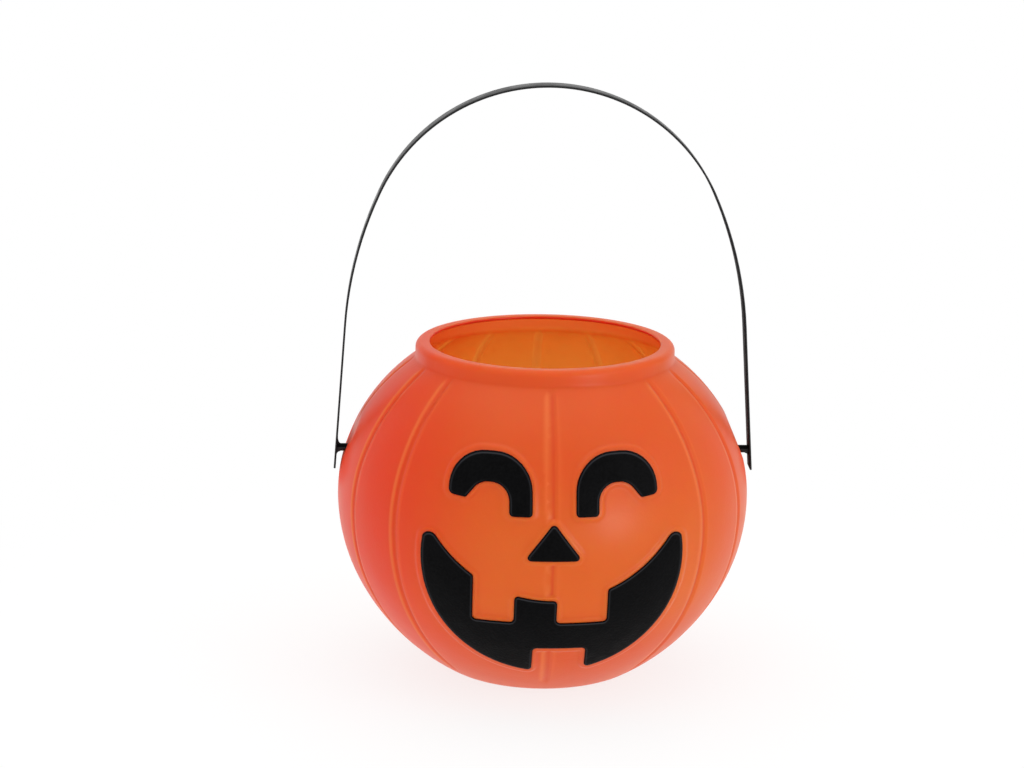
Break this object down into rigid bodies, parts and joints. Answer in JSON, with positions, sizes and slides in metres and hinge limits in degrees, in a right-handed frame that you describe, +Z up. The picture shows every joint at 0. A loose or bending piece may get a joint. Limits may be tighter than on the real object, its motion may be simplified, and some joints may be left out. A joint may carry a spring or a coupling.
{
  "type": "pumpkin candy pail",
  "caption": "Round thin-walled pumpkin pail with a raised black jack-o'-lantern face, an open collared top and a swinging strap handle.",
  "frame": {"origin": "on the table, at the axis of the round pail", "axes": "+Z up, -Y the way the face looks, X along the handle's pivot"},
  "size_m": [0.1632, 0.1613, 0.2298],
  "materials": {
    "pail_plastic": "satin, slightly translucent orange polyethylene",
    "face_finish": "semi-matte black",
    "handle_plastic": "satin black polypropylene"
  },
  "bodies": {
    "pail": {"pail_body": "pail_plastic", "left_eye": "face_finish", "right_eye": "face_finish", "nose": "face_finish", "smile": "face_finish"},
    "handle": {"handle": "handle_plastic"}
  },
  "joints": [
    {"name": "handle_swing", "type": "hinge", "parent": "pail", "child": "handle", "pos_m": [0, 0, 0.0877], "axis": [1, 0, 0], "range_deg": [-120, 120]}
  ]
}
